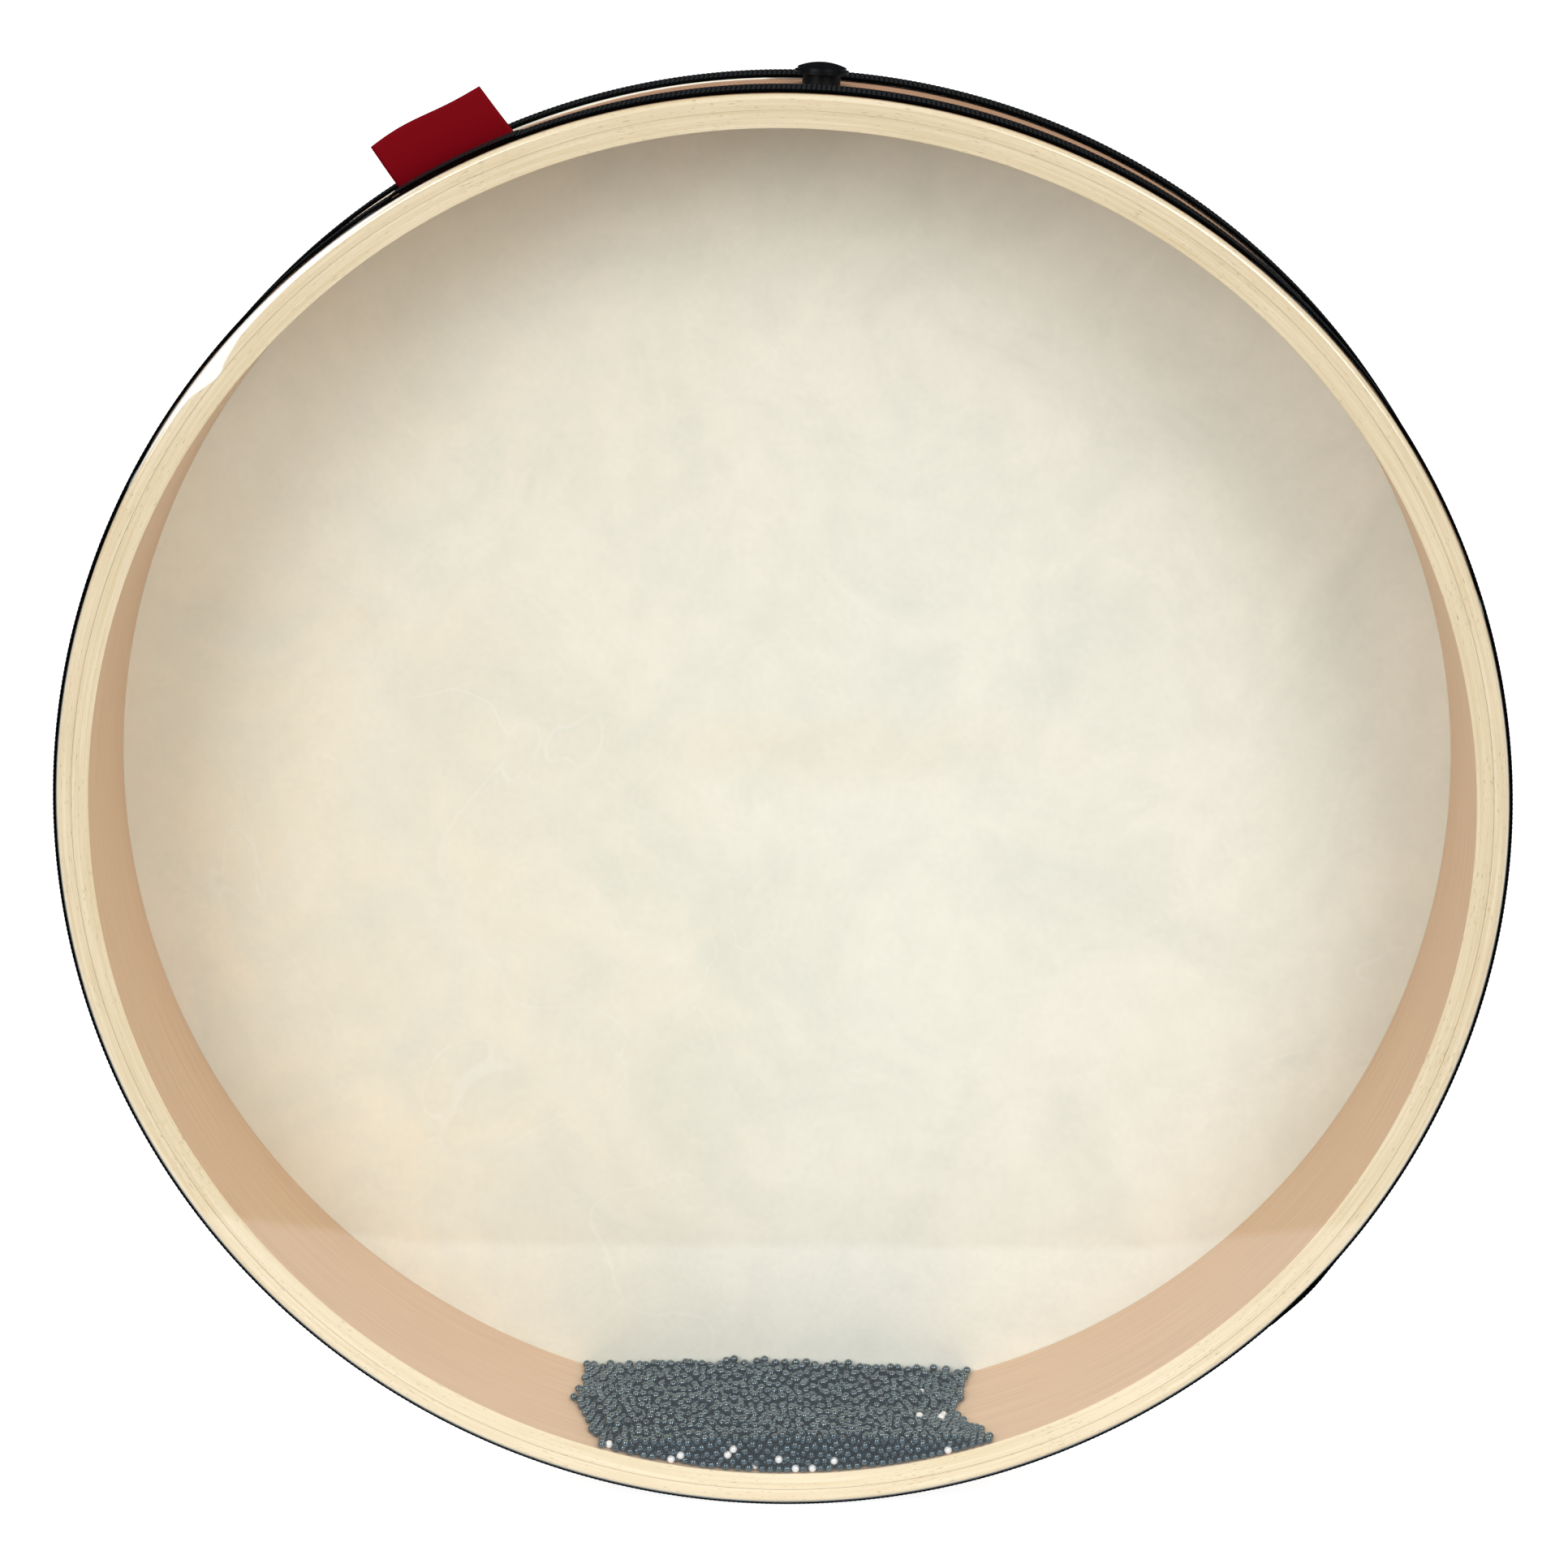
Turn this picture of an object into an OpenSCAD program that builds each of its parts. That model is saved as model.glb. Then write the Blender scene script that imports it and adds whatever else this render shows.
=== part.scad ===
// Ocean drum: a frame drum that stands on its rim, with a clear film head towards
// the front, a goatskin head at the back and a fill of small steel beads between them.
// X is to the right, Y runs from the film head to the skin head and Z is up.
// The origin is the point of the floor under the middle of the drum.

/* [Hoops] */
// Diameter over the wood of the outer hoop
drum_d = 508; // [380:1:560]
// Depth of the drum over both heads
drum_depth = 77; // [66:1:110]
// Thickness of the outer hoop
outer_hoop_t = 5.5; // [4:0.1:9]
// Thickness of the inner hoop
inner_hoop_t = 5.9; // [4:0.1:9]
// Glue line between the two hoops
glue_t = 0.2; // [0.1:0.05:0.4]
// Radius of the rounded outer edges that the heads bend over
edge_r = 3; // [1.5:0.1:3.5]

/* [Heads] */
// Thickness of the clear film head
film_t = 0.35; // [0.2:0.05:0.5]
// Length of the film that is turned down on the outside of the hoop
film_turn = 16; // [8:0.5:20]
// Thickness of the goatskin head
skin_t = 0.5; // [0.5:0.05:1]
// Mean length of the skin that is turned down on the outside of the hoop
skin_turn = 22.5; // [12:0.5:26]
// How far the hand-cut edge of the skin wanders to either side of that length
skin_wander = 1.4; // [0:0.1:2]
// Direction in which the skin is turned down furthest, left of the top
skin_long_side = 28; // [0:1:90]

/* [Tapes] */
// Width of the ribbed webbing tape
tape_w = 20; // [12:0.5:26]
// Thickness of the tape
tape_t = 1.3; // [0.8:0.1:2]
// Distance from each head's face to the tape's edge
tape_inset = 3; // [3:0.5:6]
// Length over which the tape's end lies on its start
lap_l = 14; // [8:1:30]
// Length over which the outer end comes down to the single tape
lap_ramp = 18; // [12:1:24]
// Distance from the edges of the lap to the tape's edges
lap_set = 0.3; // [0.1:0.1:1]
// Place of the outer end, right of the bottom
lap_angle = 44.6; // [20:0.1:70]

/* [Label] */
// Length of the sewn loop label along the rim
label_l = 42; // [20:1:60]
// Height of the label's fold over the wood
label_h = 18.6; // [10:0.1:24]
// Thickness of the satin ribbon that is folded to the label
label_t = 0.3; // [0.2:0.05:0.5]
// Space between the two folded layers
label_gap = 0.3; // [0.2:0.05:0.8]
// Length of the label's foot that is held under the film side tape
label_foot = 8; // [4:0.5:12]
// Place of the label, left of the top
label_angle = 26.2; // [15:0.1:60]

/* [Stopper] */
// Diameter of the filler hole through both hoops
filler_d = 9.6; // [6:0.1:10]
// Radial play of the rubber stem in the filler hole
stem_play = 0.05; // [0.02:0.01:0.1]
// Distance from the inside of the wood up to the stem's end, so that beads roll past it
stem_inset = 0.5; // [0.3:0.1:2]
// Radius of the round edge at the stem's end
stem_nose = 1; // [0.5:0.1:1.5]
// Diameter of the stopper's neck
neck_d = 13.2; // [11:0.1:16]
// Height of the neck between the wood and the cap
neck_h = 4.5; // [2:0.1:8]
// Gap under the neck, for the curve of the hoop
neck_seat = 0.05; // [0.02:0.01:0.1]
// Diameter of the mushroom cap
cap_d = 18.6; // [17:0.1:24]
// Height of the cap's upright rim
cap_rim = 0.9; // [0.5:0.1:2]
// Height of the dome over the rim
cap_dome = 2.2; // [1:0.1:4]
// Depth of the hollow under the cap, round the neck
cap_hollow = 0.6; // [0.2:0.1:0.8]
// Place of the stopper, right of the top
stopper_angle = 3; // [-10:0.5:10]

/* [Beads] */
// Diameter of one steel bead
bead_d = 3; // [2.5:0.1:5]
// Least gap between neighbouring beads, and between beads and wall
bead_gap = 0.06; // [0.04:0.01:0.2]
// Height of the pile over the lowest point of the wall
pile_h = 11.4; // [9:0.1:16]
// One in this many beads is a bright nickelled one
bright_every = 61; // [20:1:200]

/* [Hidden] */

// Colours of the materials
beech = "#e8d7b6";
liner_beech = "#d9bd98";
clear_film = "#eef3f5";
parchment = "#e4dccb";
black_webbing = "#1b1b19";
red_satin = "#8e0b14";
black_rubber = "#1e2022";
dark_steel = "#5c6670";
bright_nickel = "#d9dadc";

round_fn = 256;
small_fn = 64;
bead_fn = 32;
// How far a cut runs past what it cuts
over = 1;

// Radii and depths of the wood
wood_r = drum_d / 2;
glue_r = wood_r - outer_hoop_t;
inner_r = glue_r - glue_t - inner_hoop_t;
film_face = -drum_depth / 2;
skin_face = drum_depth / 2;
wood_front = film_face + film_t;
wood_back = skin_face - skin_t;
wood_w = wood_back - wood_front;
inner_w = wood_w;

// The tapes lie on the turned down heads, and the drum stands on the tapes
tape_r = wood_r + max(film_t, skin_t);
axis_z = tape_r + tape_t;
film_tape_y = film_face + tape_inset;
skin_tape_y = skin_face - tape_inset;

// How far the lap's ramp runs, to end inside the single tape
lap_foot_share = 1.2;

// The label stands against the back edge of the film side tape
label_y = film_tape_y + tape_w + bead_gap;
label_span = 360 * label_l / (2 * PI * wood_r);
label_fold_r = label_t + label_gap / 2;
label_foot_r = wood_r + film_t;

// Beads lie in hexagonal layers that are bent along the wall
bead_r = bead_d / 2;
pitch = bead_d + bead_gap;
layer_rise = pitch * sqrt(2 / 3);
level = inner_r - pile_h;
layer_count = max(1, floor((pile_h - pitch) / layer_rise) + 1);
row_room = inner_w - bead_d - 2 * bead_gap;
row_count = floor(row_room / pitch + 1 / 2);
row_pitch = row_room / (row_count - 1 / 2);
column_step = asin(pitch * sqrt(3) / 2 / layer_r(layer_count - 1));
column_max = ceil(acos(level / inner_r) / column_step);
first_row_y = wood_front + bead_gap + bead_r;

function layer_r(k) = inner_r - bead_gap - bead_r - k * layer_rise;
function column_angle(i, k) = (i + (k % 2) / 3) * column_step;
function row_y(i, j, k) = first_row_y + (j + ((abs(i) + k) % 2) / 2) * row_pitch;
function in_pile(i, k) =
  k < layer_count && layer_r(k) * cos(column_angle(i, k)) >= level + bead_r;
// A bead shows against the film in the first row, or where a column above it is missing
function covered(i, k) = in_pile(i - 1, k + 1) && in_pile(i, k + 1) && in_pile(i + 1, k + 1);
function shows(i, j, k) = in_pile(i, k) && (j == 0 || !covered(i, k));
function is_bright(i, j, k) = (7 * abs(i) + 11 * j + 23 * k + (i < 0 ? 5 : 0)) % bright_every == 0;

// Turns a section, drawn as radius and Y, round the drum's axis
module turned() {
  translate([0, 0, axis_z]) rotate([-90, 0, 0])
    rotate_extrude($fn = round_fn) children();
}

// Turns it through a sector only, whose middle is at an angle left of the top
module sector(middle, span) {
  translate([0, 0, axis_z]) rotate([-90, 0, 0])
    rotate([0, 0, -90 - middle - span / 2])
      rotate_extrude(angle = span, $fn = round_fn) children();
}

// Stands a shape that is drawn along Z on the wood, at an angle right of the top
module on_rim(angle) {
  translate([0, 0, axis_z]) rotate([0, angle, 0]) translate([0, 0, wood_r]) children();
}

module filler_hole() {
  on_rim(stopper_angle)
    translate([0, 0, inner_r - wood_r - over])
      cylinder(d = filler_d, h = wood_r - inner_r + 2 * over, $fn = small_fn);
}

// Section of the outer hoop, with a round edge for each head
module outer_hoop_section() {
  middle = (wood_front + wood_back) / 2;
  translate([glue_r, wood_front]) square([outer_hoop_t - edge_r, wood_w]);
  translate([glue_r, wood_front + edge_r]) square([outer_hoop_t, wood_w - 2 * edge_r]);
  for (side = [0, 1])
    translate([wood_r - edge_r, middle]) mirror([0, side]) translate([0, wood_w / 2 - edge_r])
      intersection() {
        circle(r = edge_r, $fn = small_fn);
        square(edge_r);
      }
}

module outer_hoop() {
  color(beech) difference() {
    turned() outer_hoop_section();
    filler_hole();
  }
}

module inner_hoop() {
  color(liner_beech) difference() {
    turned() translate([inner_r, wood_front]) square([inner_hoop_t, wood_w]);
    filler_hole();
  }
}

// Section of a head of thickness t on a face at y = 0 whose outside is y < 0:
// the flat, the bend over the hoop's edge and the part turned down outside
module head_section(t, turn) {
  translate([0, -t]) square([wood_r - edge_r, t]);
  translate([wood_r - edge_r, edge_r]) intersection() {
    difference() {
      circle(r = edge_r + t, $fn = small_fn);
      circle(r = edge_r, $fn = small_fn);
    }
    translate([0, -edge_r - t]) square(edge_r + t);
  }
  translate([wood_r, edge_r]) square([t, turn - edge_r]);
}

module film_head() {
  color(clear_film, 0.25)
    turned() translate([0, wood_front]) head_section(film_t, film_turn);
}

// The skin is cut by hand, so its turned down edge isn't square to the drum
module skin_head() {
  tilt = atan(skin_wander / wood_r);
  reach = wood_r + 2 * skin_t;
  color(parchment) difference() {
    turned() translate([0, wood_back]) mirror([0, 1])
      head_section(skin_t, skin_turn + 2 * skin_wander);
    translate([0, wood_back - skin_turn, axis_z])
      rotate([0, -skin_long_side, 0]) rotate([-tilt, 0, 0]) rotate([90, 0, 0])
        difference() {
          cylinder(r = reach, h = skin_turn, $fn = small_fn);
          translate([0, 0, -over]) cylinder(r = wood_r - edge_r, h = skin_turn + 2 * over, $fn = small_fn);
        }
  }
}

// Outline of the lap round the drum's axis: a crest over the start of the tape, which ends
// in a straight cut, and the ramp on its other side that comes down into the single tape
module lap_outline(span) {
  crest_r = tape_r + 2 * tape_t;
  core_r = tape_r + tape_t / 2;
  crest = [crest_r, 0];
  fall = crest - [sqrt(pow(core_r, 2) - pow(lap_ramp, 2)), -lap_ramp];
  intersection() {
    difference() {
      circle(r = crest_r, $fn = round_fn);
      circle(r = core_r, $fn = round_fn);
    }
    polygon([[0, 0], crest - lap_foot_share * fall, crest + lap_l / (2 * lap_ramp) * fall,
      (crest_r + over) * [cos(span), sin(span)]]);
  }
}

// A ribbed tape round the drum from its lower Y, with its outer end lapped over its start
module tape(y) {
  span = 360 * lap_l / (2 * PI * tape_r);
  turned() translate([tape_r, y]) square([tape_t, tape_w]);
  translate([0, y + lap_set, axis_z]) rotate([-90, 0, 0]) rotate([0, 0, 90 - lap_angle - span])
    linear_extrude(tape_w - 2 * lap_set) lap_outline(span);
}

module film_side_tape() {
  color(black_webbing) difference() {
    tape(film_tape_y);
    sector(label_angle, label_span + 360 * bead_gap / wood_r)
      translate([tape_r - over, film_tape_y + tape_w - label_foot - bead_gap])
        square([label_foot_r + 2 * label_t + bead_gap - tape_r + over, label_foot + over]);
  }
}

module skin_side_tape() {
  color(black_webbing) tape(skin_tape_y - tape_w);
}

// A ribbon folded to a loop, with both of its ends turned forward under the tape
module label_section() {
  fold = wood_r + label_h - label_fold_r;
  leg = fold - label_foot_r;
  translate([label_foot_r, 0]) square([leg, label_t]);
  translate([label_foot_r, label_t + label_gap]) square([leg, label_t]);
  translate([fold, label_fold_r]) intersection() {
    difference() {
      circle(r = label_fold_r, $fn = small_fn);
      circle(r = label_gap / 2, $fn = small_fn);
    }
    translate([0, -label_fold_r]) square([label_fold_r, 2 * label_fold_r]);
  }
  translate([label_foot_r, -label_foot]) square([2 * label_t, label_foot]);
  translate([label_foot_r, label_t]) square([label_t, label_gap]);
}

module label() {
  color(red_satin) sector(label_angle, label_span)
    translate([0, label_y]) label_section();
}

// A turned rubber plug: stem in the filler hole, neck on the wood and mushroom cap
module stopper_section() {
  stem_r = filler_d / 2 - stem_play;
  stem_l = wood_r - inner_r - stem_inset;
  cap_y = neck_seat + neck_h;
  dome_r = (pow(cap_d / 2, 2) + pow(cap_dome, 2)) / (2 * cap_dome);
  translate([0, stem_nose - stem_l]) square([stem_r, stem_l - stem_nose + neck_seat]);
  translate([0, -stem_l]) square([stem_r - stem_nose, stem_nose]);
  translate([stem_r - stem_nose, stem_nose - stem_l]) intersection() {
    circle(r = stem_nose, $fn = small_fn);
    translate([0, -stem_nose]) square(stem_nose);
  }
  translate([0, neck_seat]) square([neck_d / 2, neck_h + cap_hollow]);
  difference() {
    translate([0, cap_y]) square([cap_d / 2, cap_rim]);
    translate([neck_d / 2, cap_y - over]) square([(cap_d - neck_d) / 2 - cap_rim, cap_hollow + over]);
  }
  intersection() {
    translate([0, cap_y + cap_rim + cap_dome - dome_r]) circle(r = dome_r, $fn = round_fn);
    translate([0, cap_y + cap_rim]) square([cap_d / 2, cap_dome]);
  }
}

module stopper() {
  color(black_rubber) on_rim(stopper_angle) rotate_extrude($fn = small_fn) stopper_section();
}

module bead(i, j, k) {
  translate([0, row_y(i, j, k), axis_z]) rotate([0, -column_angle(i, k), 0])
    translate([0, 0, -layer_r(k)]) sphere(r = bead_r, $fn = bead_fn);
}

// The beads of one layer that show, dark or bright
module bead_layer(k, bright) {
  for (i = [-column_max:column_max], j = [0:row_count - 1])
    if (shows(i, j, k) && is_bright(i, j, k) == bright) bead(i, j, k);
}

module beads_layer_1() {
  color(dark_steel) bead_layer(0, false);
}

module beads_layer_2() {
  color(dark_steel) bead_layer(1, false);
}

module beads_layer_3() {
  color(dark_steel) bead_layer(2, false);
}

// The fourth layer and any above it in a higher pile
module beads_layer_4() {
  color(dark_steel) for (k = [3:max(3, layer_count - 1)]) bead_layer(k, false);
}

module bright_beads() {
  color(bright_nickel) for (k = [0:layer_count - 1]) bead_layer(k, true);
}

// The beads inside the pile, which nothing shows, as one solid under those that show
module buried_beads() {
  lowest = max([for (i = [-column_max:column_max], k = [0:layer_count - 1])
    if (in_pile(i, k) && !covered(i, k)) layer_r(k) * cos(column_angle(i, k))]);
  top = lowest + bead_r + bead_gap;
  front_y = first_row_y + row_pitch / 2 + bead_r + bead_gap;
  back_y = wood_back - bead_gap;
  color(dark_steel) intersection() {
    translate([0, front_y, axis_z]) rotate([-90, 0, 0])
      cylinder(r = inner_r - bead_gap, h = back_y - front_y, $fn = round_fn);
    translate([-inner_r, front_y - over, axis_z - inner_r])
      cube([2 * inner_r, back_y - front_y + 2 * over, inner_r - top]);
  }
}

outer_hoop();
inner_hoop();
film_head();
skin_head();
film_side_tape();
skin_side_tape();
label();
stopper();
buried_beads();
beads_layer_1();
beads_layer_2();
beads_layer_3();
beads_layer_4();
bright_beads();
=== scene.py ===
from math import cos, hypot, pi, radians, sin, tan

import bmesh
import bpy
import numpy as np
from mathutils import Matrix, Vector


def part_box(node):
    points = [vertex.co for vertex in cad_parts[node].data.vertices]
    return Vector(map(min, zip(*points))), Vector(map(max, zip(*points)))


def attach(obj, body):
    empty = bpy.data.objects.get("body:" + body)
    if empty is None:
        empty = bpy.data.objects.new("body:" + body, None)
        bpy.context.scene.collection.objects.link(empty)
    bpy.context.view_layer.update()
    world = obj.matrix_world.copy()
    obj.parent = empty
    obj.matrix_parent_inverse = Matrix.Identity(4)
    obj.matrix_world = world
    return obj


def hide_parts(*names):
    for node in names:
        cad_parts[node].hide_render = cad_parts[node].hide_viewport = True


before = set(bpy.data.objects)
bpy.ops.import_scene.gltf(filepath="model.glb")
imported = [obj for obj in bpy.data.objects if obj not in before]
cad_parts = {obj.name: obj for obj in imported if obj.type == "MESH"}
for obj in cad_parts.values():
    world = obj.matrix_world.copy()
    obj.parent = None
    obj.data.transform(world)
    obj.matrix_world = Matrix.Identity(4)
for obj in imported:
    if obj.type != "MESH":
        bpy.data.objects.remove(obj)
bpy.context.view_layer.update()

# Every place on the drum is given as a distance from its axis, which runs along Y, a depth
# along Y and an angle clockwise from the top, seen from the film side. The frame says where
# the axis and the wood are.
low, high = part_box("outer_hoop")
AXIS = Vector((0, 0, (low.z + high.z) / 2))
WOOD_R = (high.z - low.z) / 2
WOOD_FRONT = low.y
WOOD_BACK = high.y
MIDDLE = AXIS + Vector((0, (WOOD_FRONT + WOOD_BACK) / 2, 0))

# Camera
# It stands a little above the drum and to its right, as far off as a product photographer
# would be with a long lens.

LOOKS_AT = Vector((0.0005, 0, 0.2614))
STANDS_AT = (0.0365, -1.5775, 0.6541)
LENS = 104.545
SENSOR_W = 36


def linked(name, data):
    """A new object of a mesh, lamp or camera, in the scene."""
    made = bpy.data.objects.new(name, data)
    bpy.context.collection.objects.link(made)
    return made


lens = bpy.data.cameras.new("camera")
lens.lens = LENS
lens.sensor_width = SENSOR_W
camera = linked("camera", lens)
camera.location = STANDS_AT
camera.rotation_euler = (LOOKS_AT - camera.location).to_track_quat("-Z", "Y").to_euler()
bpy.context.scene.camera = camera
bpy.context.scene.view_settings.view_transform = "Standard"

# Studio
# A white floor without an end, and two softboxes, left and right of the camera. The white
# that the film mirrors ends a step in front of the drum, which gives it its level haze line.
# The floor scatters light near the drum only, and the room is lighter above, as in the photo.

FLOOR_W = 20
WHITE_ENDS_AT = -0.319
WHITE_EDGE_W = 0.006
MIRRORED_WHITE = 0.68
MIRRORED_TINT = "#e6f6ff"
FLOOR_GLOW = 0.91
FLOOR_SHADE = (0.35, 0.35, 0.35, 1)
TABLE_FROM = -0.75
TABLE_TO = -0.4
FAR_PAINT = 0.12
NEAR_PAINT = 0.8
ROOM_GREY = 0.02
ROOM_LIGHT = 0.54
LAMPS_AWAY = 2.2
SHARP = 38


def add(tree, kind, inputs=(), **settings):
    """Adds a node with its settings and inputs, and gives its first output in use."""
    node = tree.nodes.new(kind)
    for name, value in settings.items():
        setattr(node, name, value)
    for name, value in dict(inputs).items():
        named = [s for s in node.inputs if s.name == name and s.enabled]
        socket = node.inputs[name] if isinstance(name, int) else named[0]
        if isinstance(value, bpy.types.NodeSocket):
            tree.links.new(value, socket)
        else:
            socket.default_value = value
    return next((s for s in node.outputs if s.enabled), None)


def calc(tree, operation, *values):
    """One step of arithmetic on numbers and sockets."""
    return add(tree, "ShaderNodeMath", dict(enumerate(values)), operation=operation)


def ranged(tree, value, start, end, low=0, high=1, **settings):
    """How far a value is from a start to an end, as a number from low to high."""
    return add(tree, "ShaderNodeMapRange", {"Value": value, "From Min": start, "From Max": end,
                                            "To Min": low, "To Max": high}, **settings)


def linear(colour):
    """The linear colour of an sRGB hex value."""
    shares = [int(colour[i:i + 2], 16) / 255 for i in (1, 3, 5)]
    return [s / 12.92 if s <= 0.04045 else ((s + 0.055) / 1.055) ** 2.4 for s in shares] + [1]


def new_material(name):
    """An empty node material and its tree."""
    made = bpy.data.materials.new(name)
    made.use_nodes = True
    made.node_tree.nodes.clear()
    return made, made.node_tree


def matt_white_paint():
    """Floor of matt white paint, which shows white with a faint shadow under the drum."""
    made, tree = new_material("matt_white_paint")
    light = add(tree, "ShaderNodeLightPath").node.outputs
    seen = calc(tree, "MAXIMUM", light["Is Camera Ray"], light["Is Transmission Ray"])
    place = add(tree, "ShaderNodeTexCoord").node.outputs["Object"]
    y = add(tree, "ShaderNodeSeparateXYZ", {0: place}).node.outputs["Y"]
    near = ranged(tree, y, WHITE_ENDS_AT - WHITE_EDGE_W, WHITE_ENDS_AT + WHITE_EDGE_W,
                  ROOM_GREY, MIRRORED_WHITE)
    mirrored = add(tree, "ShaderNodeEmission", {"Color": linear(MIRRORED_TINT), "Strength": near})
    table = ranged(tree, y, TABLE_FROM, TABLE_TO, FAR_PAINT, NEAR_PAINT)
    paint = add(tree, "ShaderNodeBsdfDiffuse", {"Color": table})
    others = add(tree, "ShaderNodeMixShader", {0: light["Is Glossy Ray"], 1: paint, 2: mirrored})
    shade = add(tree, "ShaderNodeBsdfDiffuse", {"Color": FLOOR_SHADE})
    glow = add(tree, "ShaderNodeEmission", {"Strength": FLOOR_GLOW})
    white = add(tree, "ShaderNodeAddShader", {0: shade, 1: glow})
    shown = add(tree, "ShaderNodeMixShader", {0: seen, 1: others, 2: white})
    add(tree, "ShaderNodeOutputMaterial", {"Surface": shown})
    return made


def mesh_from(name, points, faces, uv=None, sharp=SHARP):
    """An object of a mesh whose faces point outwards, with a UV in metres for each face's
    corners, smooth up to an angle in degrees."""
    bm = bmesh.new()
    corners = [bm.verts.new(p) for p in points]
    layer = bm.loops.layers.uv.new("UVMap") if uv else None
    for f, face in enumerate(faces):
        made = bm.faces.new([corners[i] for i in face])
        if layer:
            for loop, place in zip(made.loops, uv[f]):
                loop[layer].uv = place
    bmesh.ops.remove_doubles(bm, verts=bm.verts, dist=1e-6)
    bmesh.ops.recalc_face_normals(bm, faces=bm.faces)
    mesh = bpy.data.meshes.new(name)
    bm.to_mesh(mesh)
    bm.free()
    mesh.shade_smooth()
    mesh.set_sharp_from_angle(angle=radians(sharp))
    return linked(name, mesh)


def softbox(name, direction, size, power):
    """A lamp behind a white cloth that faces the middle of the drum."""
    lamp = bpy.data.lights.new(name, "AREA")
    lamp.shape = "RECTANGLE"
    lamp.size, lamp.size_y = size
    lamp.energy = power
    made = linked(name, lamp)
    made.location = MIDDLE + Vector(direction).normalized() * LAMPS_AWAY
    made.rotation_euler = (MIDDLE - made.location).to_track_quat("-Z", "Y").to_euler()


end = FLOOR_W / 2
floor = mesh_from("floor", [(-end, -end, 0), (end, -end, 0), (end, end, 0), (-end, end, 0)],
                  [(0, 1, 2, 3)])
floor.data.materials.append(matt_white_paint())

world = bpy.data.worlds.new("studio")
bpy.context.scene.world = world
world.use_nodes = True
air = world.node_tree
air.nodes.clear()
rays = add(air, "ShaderNodeLightPath").node.outputs
way = add(air, "ShaderNodeTexCoord").node.outputs["Object"]
height = add(air, "ShaderNodeSeparateXYZ", {0: way}).node.outputs["Z"]
from_above = calc(air, "MULTIPLY_ADD", height, ROOM_LIGHT, ROOM_LIGHT)
unseen = add(air, "ShaderNodeMix", {"Factor": rays["Is Glossy Ray"], "A": from_above,
                                    "B": ROOM_GREY})
shown = calc(air, "MAXIMUM", rays["Is Camera Ray"], rays["Is Transmission Ray"])
strength = add(air, "ShaderNodeMix", {"Factor": shown, "A": unseen, "B": 1.0})
add(air, "ShaderNodeOutputWorld", {
    "Surface": add(air, "ShaderNodeBackground", {"Color": (1, 1, 1, 1), "Strength": strength})})

softbox("left_softbox", (-0.52, -0.77, 0.38), (1.0, 1.1), 18.6)
softbox("right_softbox", (0.49, -0.74, 0.46), (1.0, 1.3), 18.6)

# Inner hoop
# A strip of beech ply, steam bent to a ring and glued inside the outer one over its full
# depth. Its ends show the plies through the film, and its inside is a smooth pinkish veneer.

INNER_T = 0.0059
INNER_JOINT = -10
FILLER_D = 0.0096
FILLER_AT = 3
EASED = 0.0003
STEPS = 480
PLIES = 3
LINER_COLOURS = ("#eadcbe", "#ddcaa4", "#bba781", "#debf9e", "#d4b292")
ENDS_TURN = 0.25
FIBRES = (14, 620, 1)
PORES = (330, 2400, 1)
# Painted light from below: the end grain is made lighter from the first height down to the second,
# by the gain.
PAINTED_LIGHT_FROM = -0.1
PAINTED_LIGHT_TO = -0.25
PAINTED_LIGHT_GAIN = 1.1
GLARE_WHITE = "#fbfaf6"
GLARE_SOFT = 0.0004
GLUE_FILLS = 0.00013
DRILL_SIDES = 64


def rounded(corners, steps=5, support=0.0003):
    """A closed outline whose corners, each x, y and radius, are arcs, with a point beside
    each arc that keeps its shading off the flats."""
    outline = []
    befores, afters = corners[-1:] + corners[:-1], corners[1:] + corners[:1]
    for before, corner, after in zip(befores, corners, afters):
        here, radius = Vector(corner[:2]), corner[2]
        if not radius:
            outline.append(here)
            continue
        back = (Vector(before[:2]) - here).normalized()
        on = (Vector(after[:2]) - here).normalized()
        opening = back.angle(on) / 2
        reach = radius / tan(opening)
        centre = here + (back + on).normalized() * radius / sin(opening)
        first = here + back * reach - centre
        sweep = first.angle_signed(here + on * reach - centre)
        outline.append(here + back * (reach + support))
        for step in range(steps + 1):
            turn = Matrix.Rotation(-sweep * step / steps, 2)
            outline.append(centre + turn @ first)
        outline.append(here + on * (reach + support))
    return outline


def lathe(name, outline, joint=0, steps=STEPS, turn=Matrix.Translation(AXIS), sharp=SHARP):
    """Turns a closed outline of radius and depth round the Y axis of a frame, clockwise from
    its joint. UV is the way round the rim and the way along the outline, in metres."""
    rim = max(r for r, y in outline)
    count = len(outline)
    along = [0]
    for a, b in zip(outline, outline[1:] + outline[:1]):
        along.append(along[-1] + hypot(b[0] - a[0], b[1] - a[1]))
    points, faces, uv = [], [], []
    for i in range(steps):
        angle = radians(joint) + 2 * pi * i / steps
        points += [turn @ Vector((r * sin(angle), y, r * cos(angle))) for r, y in outline]
        here, there = i * count, (i + 1) % steps * count
        u0, u1 = 2 * pi * rim * i / steps, 2 * pi * rim * (i + 1) / steps
        for j in range(count):
            k = (j + 1) % count
            if outline[j][0] or outline[k][0]:
                faces.append((here + j, here + k, there + k, there + j))
                v0, v1 = along[j], along[j + 1]
                uv.append(((u0, v0), (u0, v1), (u1, v1), (u1, v0)))
    return mesh_from(name, points, faces, uv, sharp)


def blend(tree, share, a, b, **settings):
    """A mix of two colours by a share."""
    return add(tree, "ShaderNodeMix", {"Factor": share, "A": a, "B": b}, data_type="RGBA",
               **settings)


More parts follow.
